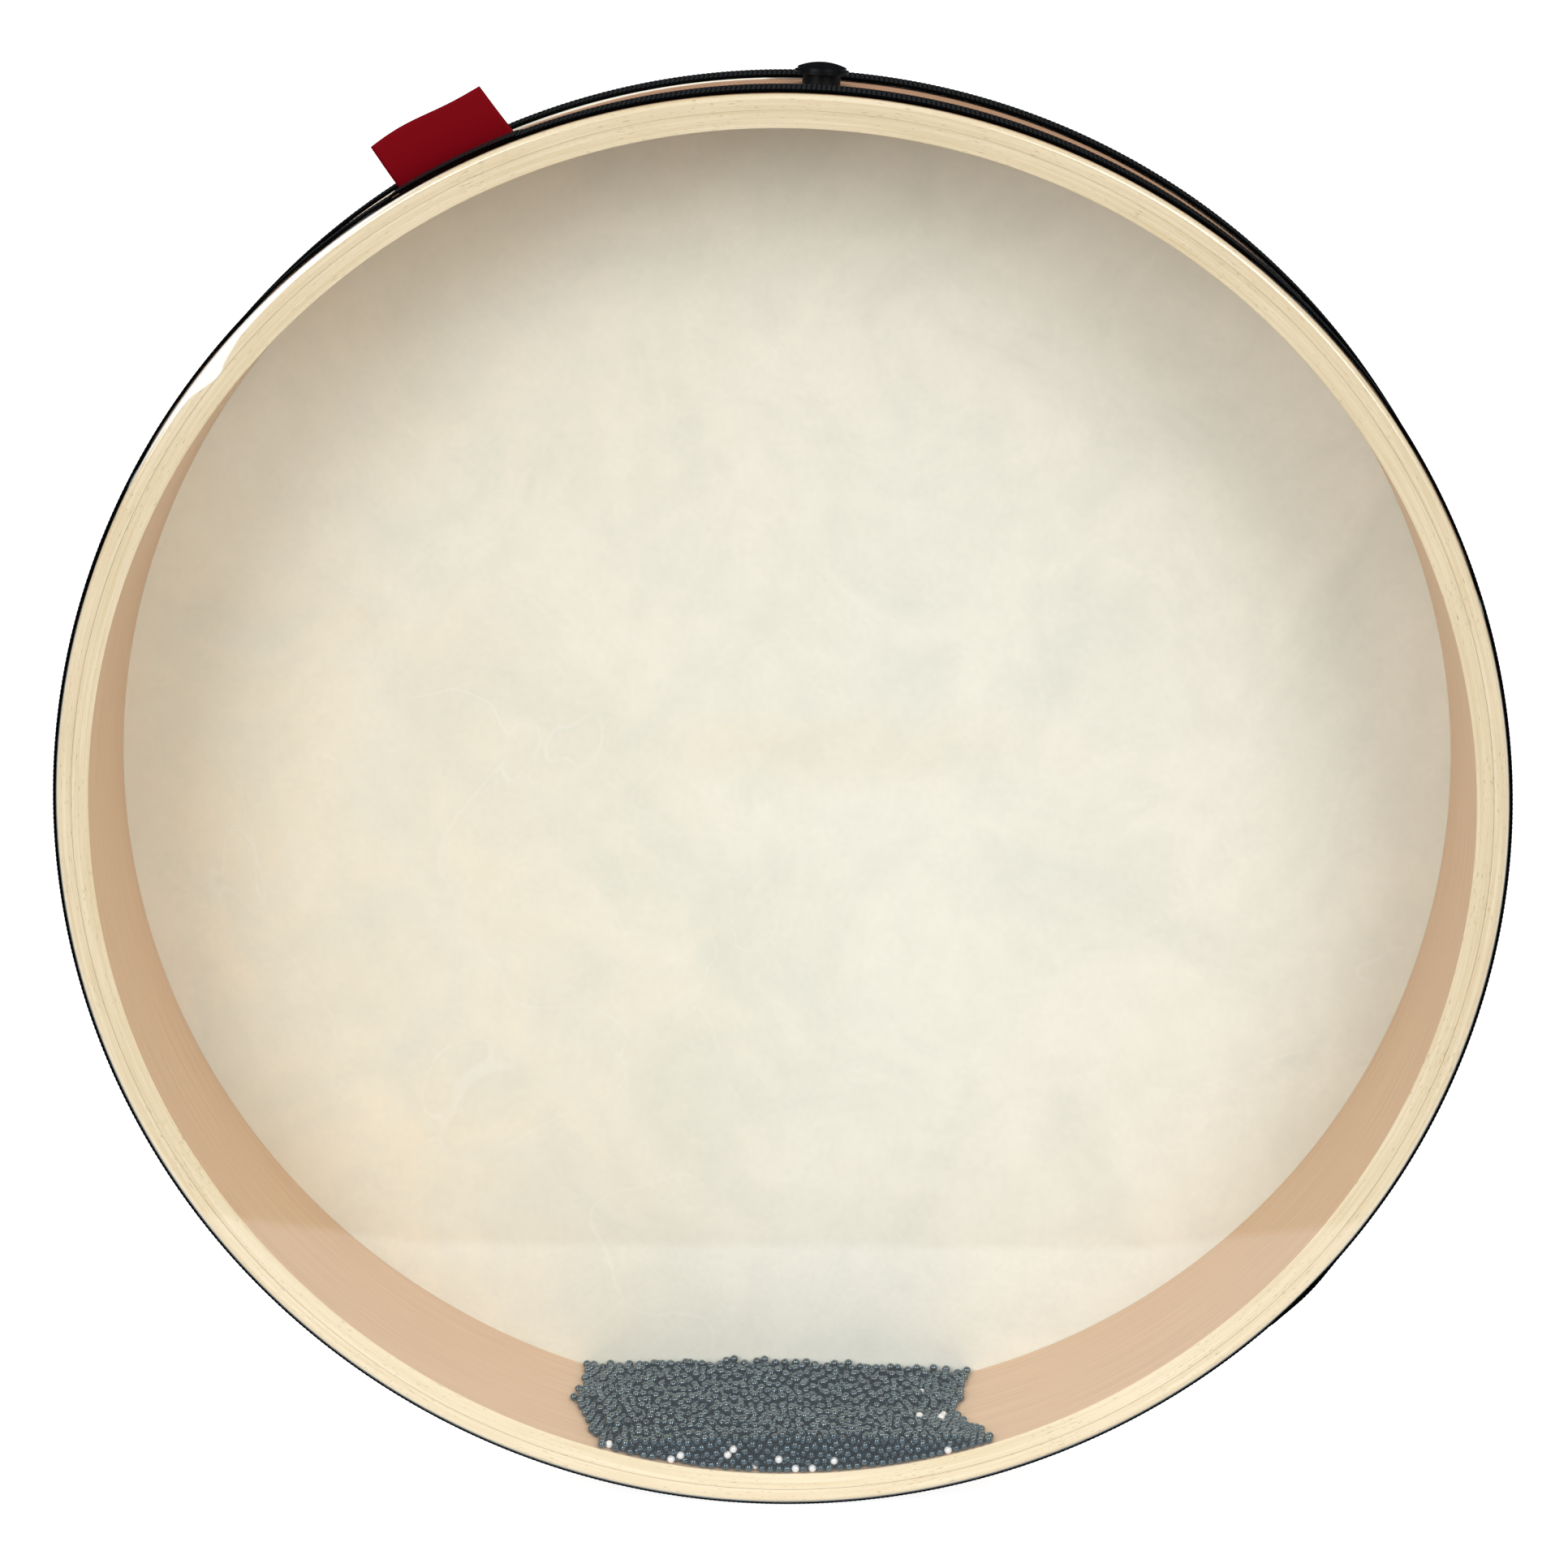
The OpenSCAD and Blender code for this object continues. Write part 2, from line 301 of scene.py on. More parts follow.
def beech_ply(name, colours, inside, outside, glare=()):
    """Steam-bent beech plywood, sanded and thinly oiled: pale on its ends, with grey fibre
    streaks and pores along the ring and fine glue lines, and on its faces a warm veneer with
    a long straight grain. The pores, 0.1 mm wide in beech, are drawn 0.4 mm wide. The ends
    are made lighter towards the bottom, as painted light from below. The filler hole's wall
    keeps the darker veneer tone, partly the wood's own colour and partly painted shade in the
    hole.
    The white patch, given as angles and its widths there, stands in for glare on the film's
    bend, and stays where it is in other views."""
    pale, deep, pore, veneer, veneer_deep = [linear(c) for c in colours]
    made, tree = new_material(name)
    coords = add(tree, "ShaderNodeTexCoord").node.outputs
    centred = add(tree, "ShaderNodeMapping", {"Vector": coords["Object"], "Location": -AXIS})
    flat = add(tree, "ShaderNodeVectorMath", {0: centred, 1: (1, 0, 1)}, operation="MULTIPLY")
    radius = add(tree, "ShaderNodeVectorMath", {0: flat}, operation="LENGTH")
    depth = add(tree, "ShaderNodeSeparateXYZ", {0: centred}).node.outputs["Y"]
    around = add(tree, "ShaderNodeSeparateXYZ", {0: coords["UV"]}).node.outputs["X"]
    normal = add(tree, "ShaderNodeNewGeometry").node.outputs["Normal"]
    facing = add(tree, "ShaderNodeVectorMath", {0: normal, 1: (0, 1, 0)}, operation="DOT_PRODUCT")
    upright = calc(tree, "ABSOLUTE", facing)
    flat_on = calc(tree, "GREATER_THAN", upright, ENDS_TURN)
    outward = calc(tree, "ABSOLUTE", depth)
    # The filler hole's wall keeps the darker veneer tone: partly the wood's own colour, partly
    # painted shade in the hole.
    off_hole = calc(tree, "GREATER_THAN", outward, FILLER_D)
    on_end = calc(tree, "MULTIPLY", flat_on, off_hole)
    across = add(tree, "ShaderNodeMix", {"Factor": on_end, "A": depth, "B": radius})
    ring = add(tree, "ShaderNodeCombineXYZ", {"X": around, "Y": across, "Z": on_end})

    fibres = add(tree, "ShaderNodeMapping", {"Vector": ring, "Scale": FIBRES})
    streaks = add(tree, "ShaderNodeTexNoise", {"Vector": fibres, "Scale": 1.0, "Detail": 5.0,
                                               "Roughness": 0.62})
    streak = ranged(tree, streaks, 0.36, 0.68)
    flecks = add(tree, "ShaderNodeMapping", {"Vector": ring, "Scale": PORES})
    pores = add(tree, "ShaderNodeTexNoise", {"Vector": flecks, "Scale": 1.0, "Detail": 1.0})
    patches = add(tree, "ShaderNodeTexNoise", {"Vector": centred, "Scale": 28.0, "Detail": 3.0})
    pored = calc(tree, "MULTIPLY_ADD", patches, 0.22, pores)
    dots = ranged(tree, pored, 0.77, 0.86)

    count = ranged(tree, radius, inside, outside, high=PLIES)
    sway = calc(tree, "MULTIPLY_ADD", patches, 0.3, count)
    share = calc(tree, "FRACT", sway)
    off = calc(tree, "SUBTRACT", share, 0.5)
    apart = calc(tree, "ABSOLUTE", off)
    line = ranged(tree, apart, 0.43, 0.5, high=0.3)

    lined = blend(tree, line, blend(tree, streak, pale, deep), pore)
    end_grain = blend(tree, dots, lined, pore)
    height = add(tree, "ShaderNodeSeparateXYZ", {0: flat}).node.outputs["Z"]
    # Painted light from below on the end grain, growing towards the bottom.
    light_from_below = ranged(tree, height, PAINTED_LIGHT_FROM, PAINTED_LIGHT_TO, 1, PAINTED_LIGHT_GAIN)
    end_grain_lit = blend(tree, 1.0, end_grain, light_from_below, blend_type="MULTIPLY")
    colour = blend(tree, on_end, blend(tree, streak, veneer, veneer_deep), end_grain_lit)
    if glare:
        spot = add(tree, "ShaderNodeSeparateXYZ", {0: flat}).node.outputs
        turned = calc(tree, "ARCTAN2", spot["X"], spot["Z"])
        first, last, most = glare[0][0], glare[-1][0], max(w for a, w in glare)
        way = ranged(tree, turned, radians(first), radians(last))
        widths = add(tree, "ShaderNodeValToRGB", {"Fac": way})
        stops = widths.node.color_ramp.elements
        for i, (angle, width) in enumerate(glare):
            place = (angle - first) / (last - first)
            stop = stops[0] if i == 0 else stops.new(place) if i < len(glare) - 1 else stops[-1]
            stop.position = place
            stop.color = (width / most, width / most, width / most, 1)
        rough = calc(tree, "MULTIPLY_ADD", streaks, 2 * GLARE_SOFT, -GLARE_SOFT)
        reach = calc(tree, "MULTIPLY_ADD", widths, most, rough)
        from_rim = calc(tree, "SUBTRACT", outside, radius)
        left = calc(tree, "SUBTRACT", reach, from_rim)
        white = ranged(tree, left, 0, GLARE_SOFT)
        glaring = calc(tree, "MULTIPLY", white, on_end)
        colour = blend(tree, glaring, colour, linear(GLARE_WHITE))
    bump = add(tree, "ShaderNodeBump", {"Height": streaks, "Distance": 0.0001, "Strength": 0.2})
    wood = add(tree, "ShaderNodeBsdfPrincipled", {"Base Color": colour, "Roughness": 0.5,
                                                  "Normal": bump})
    add(tree, "ShaderNodeOutputMaterial", {"Surface": wood})
    return made


def drilled(hoop):
    """The hoop with the filler hole for the beads drilled through its upper side."""
    bm = bmesh.new()
    on_rim = Matrix.Translation(AXIS) @ Matrix.Rotation(radians(FILLER_AT), 4, "Y")
    bmesh.ops.create_cone(bm, segments=DRILL_SIDES, radius1=FILLER_D / 2, radius2=FILLER_D / 2,
                          depth=WOOD_R / 10, cap_ends=True,
                          matrix=on_rim @ Matrix.Translation((0, MIDDLE.y, WOOD_R)))
    mesh = bpy.data.meshes.new("drill")
    bm.to_mesh(mesh)
    bm.free()
    drill = linked("drill", mesh)
    cut = hoop.modifiers.new("filler_hole", "BOOLEAN")
    cut.object = drill
    cut.operation = "DIFFERENCE"
    cut.solver = "EXACT"
    ready = hoop.evaluated_get(bpy.context.evaluated_depsgraph_get())
    hoop.data = bpy.data.meshes.new_from_object(ready)
    hoop.modifiers.clear()
    bpy.data.objects.remove(drill)


low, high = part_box("inner_hoop")
INNER_OUTSIDE = (high.z - low.z) / 2
INNER_R = INNER_OUTSIDE - INNER_T
inner_hoop = lathe("inner_hoop_ply", rounded([
    (INNER_R, WOOD_FRONT, EASED), (INNER_OUTSIDE + GLUE_FILLS, WOOD_FRONT, EASED / 3),
    (INNER_OUTSIDE + GLUE_FILLS, WOOD_BACK, EASED / 3), (INNER_R, WOOD_BACK, EASED)]),
    INNER_JOINT)
inner_hoop.data.materials.append(beech_ply("beech_ply_liner", LINER_COLOURS, INNER_R,
                                           INNER_OUTSIDE))
drilled(inner_hoop)
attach(inner_hoop, "drum")
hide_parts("inner_hoop")

# Outer hoop
# The drum's shell: a second ring of beech ply, with its long outer edges rounded over so that
# the heads bend gently. It takes the glued edges of both heads and the two tapes.

OUTER_T = 0.0055
EDGE_R = 0.003
EDGE_W = 0.0021
OUTER_JOINT = -63.6
SHELL_COLOURS = ("#eadcbe", "#decaa5", "#bba781", "#c79c7a", "#b98d6c")
GLARE = ((-66, 0), (-60, 0.0008), (-55.5, 0.0016), (-53.5, 0.0025), (-51.4, 0.0052),
         (-50.4, 0.0063), (-49.6, 0.0046), (-47, 0.0026), (-40, 0.0019), (-33, 0.0012), (-24, 0))


def eased_over(rim, front, width, depth, steps=12):
    """A flat quarter ellipse from the front face to the rim, as the hoop's edge is sanded."""
    turns = [pi / 2 * i / steps for i in range(steps + 1)]
    return [Vector((rim - width + width * sin(t), front + depth - depth * cos(t))) for t in turns]


outer_r = WOOD_R - OUTER_T
back_edge = eased_over(WOOD_R, -WOOD_BACK, EDGE_R, EDGE_R)
outer_hoop = lathe("outer_hoop_ply", [Vector((outer_r, WOOD_FRONT))]
                   + eased_over(WOOD_R, WOOD_FRONT, EDGE_W, EDGE_R)
                   + [Vector((r, -y)) for r, y in reversed(back_edge)]
                   + [Vector((outer_r, WOOD_BACK))], OUTER_JOINT)
outer_hoop.data.materials.append(beech_ply("beech_ply_shell", SHELL_COLOURS, outer_r, WOOD_R,
                                           GLARE))
drilled(outer_hoop)
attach(outer_hoop, "drum")
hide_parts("outer_hoop")

# Clear film head
# A disc of stiff clear polyester film, 0.35 mm thick, heated and drawn over the rounded edge
# of the hoop and glued down outside, under the tape. It is glossy and mirrors what is low.

FILM_SINK = 0.00005
FILM_TURN = 0.016
FILM_MIRRORS = 0.053
BEND_STEPS = 18
DISC_RINGS = (0.1, 0.2)

low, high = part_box("film_head")
film_out = (high.z - low.z) / 2
film_in = WOOD_R + FILM_SINK
film_inside = WOOD_FRONT - FILM_SINK
film_end = WOOD_FRONT + FILM_TURN
film_t = film_inside - low.y
bend_out = eased_over(film_out, low.y, EDGE_W + film_out - WOOD_R, EDGE_R + film_t, BEND_STEPS)
bend_in = eased_over(film_in, film_inside, EDGE_W + FILM_SINK, EDGE_R + FILM_SINK, BEND_STEPS)
front_face = [Vector((r, low.y)) for r in (0, *DISC_RINGS)]
back_face = [Vector((r, film_inside)) for r in (0, *DISC_RINGS)]
film_edge = [Vector((film_out, film_end)), Vector((film_in, film_end))]
film = lathe("clear_film_head", back_face[:1] + front_face + bend_out + film_edge
             + bend_in[::-1] + back_face[:0:-1])


def polyester_film():
    """Clear polyester film, drawn smooth: it is seen through, with a mirror gloss on both of
    its faces that grows at the bend, as the index of 1.6 gives."""
    made, tree = new_material("polyester_film")
    tilt = add(tree, "ShaderNodeLayerWeight", {"Blend": 0.5}).node.outputs["Facing"]
    grazing = calc(tree, "POWER", tilt, 5.0)
    mirror = calc(tree, "MULTIPLY_ADD", grazing, 1 - FILM_MIRRORS, FILM_MIRRORS)
    clear = add(tree, "ShaderNodeBsdfTransparent", {"Color": (1, 1, 1, 1)})
    gloss = add(tree, "ShaderNodeBsdfGlossy", {"Color": (1, 1, 1, 1), "Roughness": 0.02})
    both = add(tree, "ShaderNodeMixShader", {0: mirror, 1: clear, 2: gloss})
    add(tree, "ShaderNodeOutputMaterial", {"Surface": both})
    return made


film.data.materials.append(polyester_film())
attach(film, "drum")
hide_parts("film_head")

# Goatskin head
# A goatskin, soaked, stretched over the back of the hoop and glued down outside. It dried
# tight, mottled and faintly veined, and its hand-cut edge looks out from under the tape.

CUT_AT = (-180, -44, -36, -27, -19, -12, -5, -1, 2, 8, 180)
CUT_SHOWS = (-0.005, -0.005, 0.001, 0.0035, 0.004, 0.0022, 0.0009, 0.0002, -0.001, -0.005, -0.005)
CUT_WAVES = ((13, 0.0006, 2.0), (29, 0.0004, 0.4), (61, 0.00025, 1.7), (131, 0.00015, 2.9))
SKIN_COLOURS = ("#f0efe2", "#eee4cb", "#dbded2", "#f8f6ee")
WARM_SPOTS = ((-0.185, 0.006, 0.04, 0.03), (-0.16, -0.03, 0.05, 0.025), (-0.01, 0.01, 0.13, 0.02))

low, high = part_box("skin_head")
skin_out = (high.z - low.z) / 2
skin_in = WOOD_R + FILM_SINK
skin_inside = WOOD_BACK + FILM_SINK
skin_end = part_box("skin_side_tape")[0].y
skin_bend = EDGE_R + skin_out - WOOD_R
front_face = [(r, skin_inside, 0) for r in (0, *DISC_RINGS)]
back_face = [(r, high.y, 0) for r in (0, *DISC_RINGS)]
skin = lathe("goatskin_head", rounded(front_face + [
    (skin_in, skin_inside, EDGE_R), (skin_in, skin_end, 0), (skin_out, skin_end, 0),
    (skin_out, high.y, skin_bend)] + back_face[::-1], steps=8))
for point in skin.data.vertices:
    if point.co.y < skin_end + FILM_SINK:
        angle = np.arctan2(point.co.x, point.co.z - AXIS.z)
        point.co.y -= np.interp(np.degrees(angle), CUT_AT, CUT_SHOWS)
        for count, size, phase in CUT_WAVES:
            point.co.y += size * sin(count * angle + phase)


def goatskin():
    """Natural goatskin, limed, scraped and dried under tension: matt cream, cloudy from its
    uneven thickness, with yellowish and grey blotches, a felt-like grain and pale veins."""
    cream, tan_tone, grey, vein = [linear(c) for c in SKIN_COLOURS]
    made, tree = new_material("goatskin")
    coords = add(tree, "ShaderNodeTexCoord").node.outputs
    centred = add(tree, "ShaderNodeMapping", {"Vector": coords["Object"], "Location": -AXIS})
    clouds = add(tree, "ShaderNodeTexNoise", {"Vector": centred, "Scale": 7.0, "Detail": 5.0,
                                              "Roughness": 0.6, "Distortion": 0.6})
    blotches = add(tree, "ShaderNodeTexNoise", {"Vector": centred, "Scale": 17.0, "Detail": 6.0,
                                                "Roughness": 0.62, "Distortion": 0.9})
    felt = add(tree, "ShaderNodeTexNoise", {"Vector": centred, "Scale": 420.0, "Detail": 4.0,
                                            "Roughness": 0.7})
    left = add(tree, "ShaderNodeSeparateXYZ", {0: centred}).node.outputs["X"]
    side = ranged(tree, left, 0.16, -0.22, high=0.42, interpolation_type="SMOOTHSTEP")
    warm = calc(tree, "MULTIPLY", clouds, side)
    warmth = ranged(tree, warm, 0.05, 0.33)
    for x, z, wide, high in WARM_SPOTS:
        spot = add(tree, "ShaderNodeMapping", {"Vector": centred, "Location": (x, 0, z),
                                               "Scale": (wide, 1, high)}, vector_type="TEXTURE")
        far = add(tree, "ShaderNodeVectorMath", {0: spot}, operation="LENGTH")
        ragged = calc(tree, "MULTIPLY_ADD", blotches, 1.2, far)
        part = ranged(tree, ragged, 1.7, 0.5, high=0.55, interpolation_type="SMOOTHSTEP")
        warmth = calc(tree, "MAXIMUM", warmth, part)
    grey_part = ranged(tree, blotches, 0.42, 0.72, high=0.56)
    greyed = blend(tree, grey_part, blend(tree, warmth, cream, tan_tone), grey)
    wander = add(tree, "ShaderNodeTexNoise", {"Vector": centred, "Scale": 11.0, "Detail": 2.0,
                                              "Distortion": 1.4})
    off = calc(tree, "SUBTRACT", wander, 0.5)
    apart = calc(tree, "ABSOLUTE", off)
    thin = ranged(tree, apart, 0.006, 0)
    where = ranged(tree, clouds, 0.5, 0.62, high=0.3)
    veined = calc(tree, "MULTIPLY", thin, where)
    lined = blend(tree, veined, greyed, vein)
    speckle = ranged(tree, felt, 0.3, 0.7, 0.975, 1.025)
    pulp = add(tree, "ShaderNodeTexNoise", {"Vector": centred, "Scale": 75.0, "Detail": 4.0,
                                            "Roughness": 0.65})
    mottle = ranged(tree, pulp, 0.3, 0.7, 0.976, 1.02)
    both = calc(tree, "MULTIPLY", speckle, mottle)
    colour = blend(tree, 1.0, lined, both, blend_type="MULTIPLY")
    bump = add(tree, "ShaderNodeBump", {"Height": felt, "Distance": 0.0001, "Strength": 0.6})
    hide = add(tree, "ShaderNodeBsdfPrincipled", {"Base Color": colour, "Roughness": 0.72,
                                                  "Normal": bump, "Specular IOR Level": 0.35})
    add(tree, "ShaderNodeOutputMaterial", {"Surface": hide})
    return made


skin.data.materials.append(goatskin())
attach(skin, "drum")
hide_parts("skin_head")

# Tapes
# Two lengths of black ribbed polyester webbing, 20 mm wide, glued round the drum over the
# turned down edge of each head. Each starts at the lower right and laps over its own start.

TAPE_W = 0.020
FRONT_TAPE_T = 0.00095
BACK_TAPE_T = 0.0013
TAPE_START = 132.25
RAMP_START = 488.2
RAMP_END = 492.25
TAPE_CUT = 496.2
THINS_FROM = 492.6
THINNED = 0.7
LAP_RISE = 0.85
RIB_PITCH = 0.0017
BAND_SHARE = 0.8
RIB_HALF = 0.52
NEAR_END = 0.4
RIB_END_GIRTH = 0.75
DRAWN_IN = 0.0007
BAND_STEPS = 640
RIBS_SHARP = 65
LABEL_T = 0.0003
LABEL_FROM = -30.85
LABEL_TO = -20.9
FEET_RAMP = 0.7


def geometry_tree(name, sizes):
    """An empty Geometry Nodes tree that takes a mesh and named sizes."""
    tree = bpy.data.node_groups.new(name, "GeometryNodeTree")
    tree.interface.new_socket("Geometry", in_out="OUTPUT", socket_type="NodeSocketGeometry")
    tree.interface.new_socket("Geometry", in_out="INPUT", socket_type="NodeSocketGeometry")
    for size in sizes:
        tree.interface.new_socket(size, in_out="INPUT", socket_type="NodeSocketFloat")
    return tree, add(tree, "NodeGroupInput").node.outputs


def grown(name, tree, points, edges, sizes):
    """The plain mesh object that a tree makes from points and edges with its sizes."""
    seed = bpy.data.meshes.new(name)
    seed.from_pydata([tuple(p) for p in points], edges, [])
    made = linked(name, seed)
    modifier = made.modifiers.new(name, "NODES")
    modifier.node_group = tree
    for socket in tree.interface.items_tree:
        if socket.in_out == "INPUT" and socket.name in sizes:
            modifier[socket.identifier] = sizes[socket.name]
    ready = made.evaluated_get(bpy.context.evaluated_depsgraph_get())
    made.data = bpy.data.meshes.new_from_object(ready)
    made.modifiers.clear()
    return made


def webbing():
    """Black polyester webbing, woven with a rib across every 1.7 mm, with fine threads that run
    over the ribs. Its colour, sheen and gloss are painted shade and light by the rib's height:
    near black in the grooves and on the band under them, dark grey with a faint grey sheen on
    the crests."""
    made, tree = new_material("polyester_webbing")
    place = add(tree, "ShaderNodeTexCoord").node.outputs["Object"]
    threads = add(tree, "ShaderNodeTexWave", {"Vector": place, "Scale": 280.0, "Distortion": 1.0,
                                              "Detail": 1.0, "Detail Scale": 4.0},
                  bands_direction="Y")
    fuzz = add(tree, "ShaderNodeTexNoise", {"Vector": place, "Scale": 1400.0, "Detail": 3.0})
    worn = ranged(tree, fuzz, 0.4, 0.7)
    thread = blend(tree, worn, linear("#0f1112"), linear("#1d2124"))
    height = add(tree, "ShaderNodeAttribute", attribute_name="rib").node.outputs["Fac"]
    # Painted shade and light by the rib's height: near black in the grooves and on the band,
    # lighter with sheen and gloss on the crests.
    crest_light_painted = ranged(tree, height, 0.25, 0.9)
    colour = blend(tree, crest_light_painted, linear("#060606"), thread)
    sheen = calc(tree, "MULTIPLY", crest_light_painted, 0.045)
    shine = calc(tree, "MULTIPLY", crest_light_painted, 0.2)
    bump = add(tree, "ShaderNodeBump", {"Height": threads, "Distance": 0.0001, "Strength": 0.7})
    cloth = add(tree, "ShaderNodeBsdfPrincipled", {
        "Base Color": colour, "Roughness": 0.55, "Normal": bump, "Specular IOR Level": shine,
        "Sheen Weight": sheen, "Sheen Roughness": 0.4, "Sheen Tint": linear("#aeb6be")})
    add(tree, "ShaderNodeOutputMaterial", {"Surface": cloth})
    return made


def rib_tree(material):
    """Ribs across a band that follows a path: cylinders with eight sides, flattened and drawn
    in at their ends, one at every pitch."""
    tree, given = geometry_tree("webbing_ribs", ["Rib pitch", "Rib length", "Rib height",
                                                 "Drawn-in end"])
    half = calc(tree, "MULTIPLY", given["Rib pitch"], RIB_HALF)
    rod = add(tree, "GeometryNodeMeshCylinder", {"Vertices": 8, "Side Segments": 3, "Radius": 1.0,
                                                 "Depth": 1.0})
    place = add(tree, "ShaderNodeSeparateXYZ",
                {0: add(tree, "GeometryNodeInputPosition")}).node.outputs
    at_end = calc(tree, "GREATER_THAN", calc(tree, "ABSOLUTE", place["Z"]), NEAR_END)
    girth = add(tree, "ShaderNodeMix", {"Factor": at_end, "A": 1.0, "B": RIB_END_GIRTH})
    outer = calc(tree, "MULTIPLY", given["Rib length"], 0.5)
    inner = calc(tree, "SUBTRACT", outer, given["Drawn-in end"])
    reach = add(tree, "ShaderNodeMix", {"Factor": at_end, "A": inner, "B": outer})
    down = calc(tree, "MULTIPLY", given["Rib height"], -1.0)
    shaped = add(tree, "ShaderNodeCombineXYZ", {
        "X": calc(tree, "MULTIPLY", calc(tree, "MULTIPLY", place["X"], half), girth),
        "Y": calc(tree, "MULTIPLY", calc(tree, "SIGN", place["Z"]), reach),
        "Z": calc(tree, "MULTIPLY", calc(tree, "MULTIPLY", place["Y"], down), girth)})
    crest = calc(tree, "MAXIMUM", calc(tree, "MULTIPLY", place["Y"], -1.0), 0.0)
    marked = add(tree, "GeometryNodeStoreNamedAttribute", {"Geometry": rod, "Name": "rib",
                                                           "Value": crest})
    rib = add(tree, "GeometryNodeSetPosition", {"Geometry": marked, "Position": shaped})
    path = add(tree, "GeometryNodeMeshToCurve", {"Mesh": given["Geometry"]})
    stops = add(tree, "GeometryNodeCurveToPoints", {"Curve": path, "Length": given["Rib pitch"]},
                mode="LENGTH").node.outputs
    turn = add(tree, "FunctionNodeAlignRotationToVector", {"Vector": stops["Tangent"]}, axis="X",
               pivot_axis="Y")
    ribs = add(tree, "GeometryNodeInstanceOnPoints", {"Points": stops["Points"], "Instance": rib,
                                                      "Rotation": turn})
    real = add(tree, "GeometryNodeRealizeInstances", {"Geometry": ribs})
    done = add(tree, "GeometryNodeSetMaterial", {"Geometry": real, "Material": material})
    add(tree, "NodeGroupOutput", {"Geometry": done})
    return tree


def ramp(value, start, end):
    """A share that goes smoothly from 0 at the start to 1 at the end."""
    share = min(max((value - start) / (end - start), 0), 1)
    return share * share * (3 - 2 * share)


def tape_radius(angle, inside, thick, over_label):
    """Inner radius of the tape at an angle along it: it rises over its own start at the lap,
    and over the two feet of the label where it holds them."""
    lap = ramp(angle, RAMP_START, RAMP_END)
    left, right = 360 + LABEL_FROM, 360 + LABEL_TO
    feet = ramp(angle, left - FEET_RAMP, left) - ramp(angle, right, right + FEET_RAMP)
    return inside + thick * LAP_RISE * lap + 2 * LABEL_T * over_label * feet


def tape(name, node, material, ribs, thick, over_label):
    """A flat woven band along the tape's path, with the ribs over its outside. Its cut end
    thins over the lap."""
    low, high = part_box(node)
    inside = (AXIS.z - low.z) - BACK_TAPE_T
    band_t = thick * BAND_SHARE
    middle = (low.y + high.y) / 2
    angles = [TAPE_START + (TAPE_CUT - TAPE_START) * i / BAND_STEPS for i in range(BAND_STEPS + 1)]
    side, edge_r = TAPE_W / 2, band_t / 3
    outline = rounded([(0, -side, edge_r), (band_t, -side, edge_r), (band_t, side, edge_r),
                       (0, side, edge_r)], steps=2, support=0.0001)
    points, faces = [], []
    count = len(outline)
    for i, angle in enumerate(angles):
        out = Vector((sin(radians(angle)), 0, cos(radians(angle))))
        r = tape_radius(angle, inside, thick, over_label)
        left = 1 - THINNED * ramp(angle, THINS_FROM, TAPE_CUT)
        points += [AXIS + out * (r + up * left) + Vector((0, middle + y, 0)) for up, y in outline]
        for j in range(count if i else 0):
            k = (j + 1) % count
            here, back = i * count, (i - 1) * count
            faces.append((back + j, back + k, here + k, here + j))
    faces += [range(count), range(BAND_STEPS * count, (BAND_STEPS + 1) * count)]
    band = mesh_from(name, points, faces)

    path = [AXIS + Vector((0, middle, 0)) + Vector((sin(radians(a)), 0, cos(radians(a))))
            * (tape_radius(a, inside, thick, over_label) + band_t
               - thick * THINNED * ramp(a, THINS_FROM, TAPE_CUT)) for a in angles]
    rows = grown(name + "_ribs", ribs, path, [(i, i + 1) for i in range(BAND_STEPS)], {
        "Rib pitch": RIB_PITCH, "Rib length": TAPE_W - 2 * EASED, "Rib height": thick - band_t,
        "Drawn-in end": DRAWN_IN})
    plain = len(band.data.vertices)
    heights = np.zeros(plain + len(rows.data.vertices))
    marks = rows.data.attributes["rib"].data
    heights[plain:] = [mark.value for mark in marks]
    both = bmesh.new()
    both.from_mesh(band.data)
    both.from_mesh(rows.data)
    bmesh.ops.recalc_face_normals(both, faces=both.faces)
    both.to_mesh(band.data)
    both.free()
    bpy.data.objects.remove(rows)
    kept = band.data.attributes.get("rib") or band.data.attributes.new("rib", "FLOAT", "POINT")
    kept.data.foreach_set("value", heights)
    band.data.shade_smooth()
    band.data.set_sharp_from_angle(angle=radians(RIBS_SHARP))
    band.data.materials.append(material)
    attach(band, "drum")
    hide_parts(node)


black_webbing = webbing()
webbing_ribs = rib_tree(black_webbing)
tape("film_side_webbing", "film_side_tape", black_webbing, webbing_ribs, FRONT_TAPE_T,
     over_label=1)
tape("skin_side_webbing", "skin_side_tape", black_webbing, webbing_ribs, BACK_TAPE_T,
     over_label=0)

# Label
# A plain red satin ribbon, 43 mm wide and 53 mm long, folded to a loop. Both of its ends are
# glued under the film side tape, and the loop stands up between the tapes at the upper left.

LABEL_GAP = 0.0003
LABEL_FOOT = 0.008
LABEL_LEANS = (34.6, 37.1)
LABEL_RISES = (0.0179, 0.0204)
LABEL_BOW = 0.00055
LABEL_DIP = 0.0003
LABEL_BELLY = 0.0009
BELLY_LOW = 0.8
FEET_LIFT = 0.6
LAYER_STEP = 1.1
LABEL_COLUMNS = 28
FOOT_STEPS = 4
LEG_STEPS = 16
FOLD_STEPS = 6

low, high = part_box("label")
label_y = low.y + LABEL_FOOT
fold_r = (LABEL_T + LABEL_GAP) / 2
feet_r = film_out + LABEL_T * FEET_LIFT


